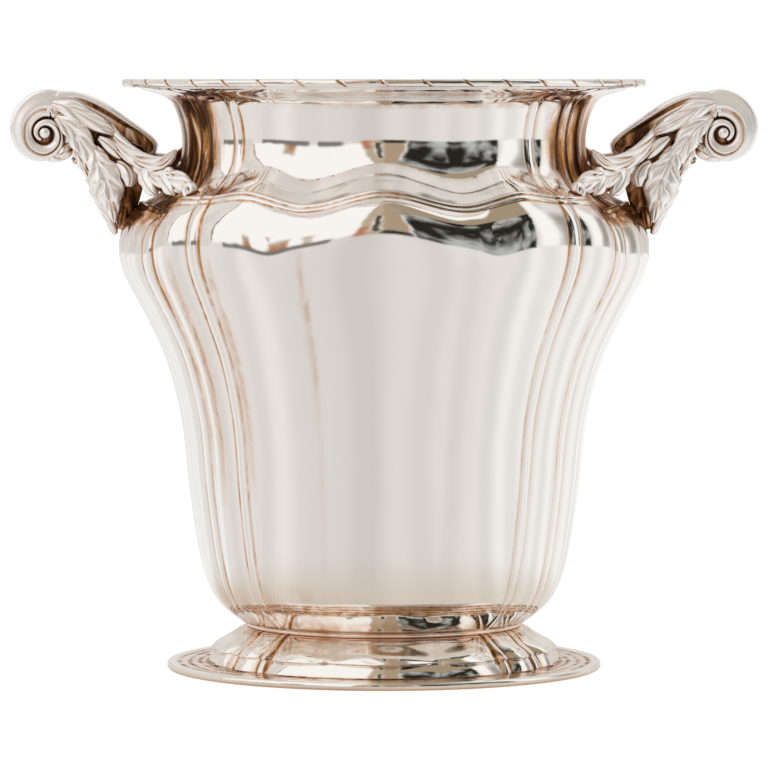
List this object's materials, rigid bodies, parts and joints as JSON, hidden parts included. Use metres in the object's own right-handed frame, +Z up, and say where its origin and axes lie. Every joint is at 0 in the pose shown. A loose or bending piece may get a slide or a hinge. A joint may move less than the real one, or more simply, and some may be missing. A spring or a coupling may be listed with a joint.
{
  "type": "champagne bucket",
  "caption": "Lobed silver champagne bucket with a flared rim, a domed round foot and a pair of cast acanthus scroll handles.",
  "frame": {"origin": "centre of the round base, on the surface that it stands on", "axes": "+Z up through the mouth; the handles lie along X; the wide front panel faces -Y"},
  "size_m": [0.2906, 0.2072, 0.23],
  "materials": {
    "bowl_silver": "hand-polished silver",
    "rim_silver": "hand-polished silver",
    "foot_silver": "polished silver, warm tarnish in the creases",
    "handle_silver": "cast and chased silver, warm tarnish in the recesses"
  },
  "bodies": {
    "root": {"body_shell": "bowl_silver", "rim_flange": "rim_silver", "rim_border": "rim_silver", "foot_collar": "foot_silver", "foot_dome": "foot_silver", "base_plate": "foot_silver", "base_edge_wire": "foot_silver", "right_scroll": "handle_silver", "right_front_branch": "handle_silver", "right_rear_branch": "handle_silver", "right_front_leaf": "handle_silver", "right_rear_leaf": "handle_silver", "right_outer_leaf": "handle_silver", "right_spur_leaf": "handle_silver", "left_scroll": "handle_silver", "left_front_branch": "handle_silver", "left_rear_branch": "handle_silver", "left_front_leaf": "handle_silver", "left_rear_leaf": "handle_silver", "left_outer_leaf": "handle_silver", "left_spur_leaf": "handle_silver"}
  },
  "joints": []
}
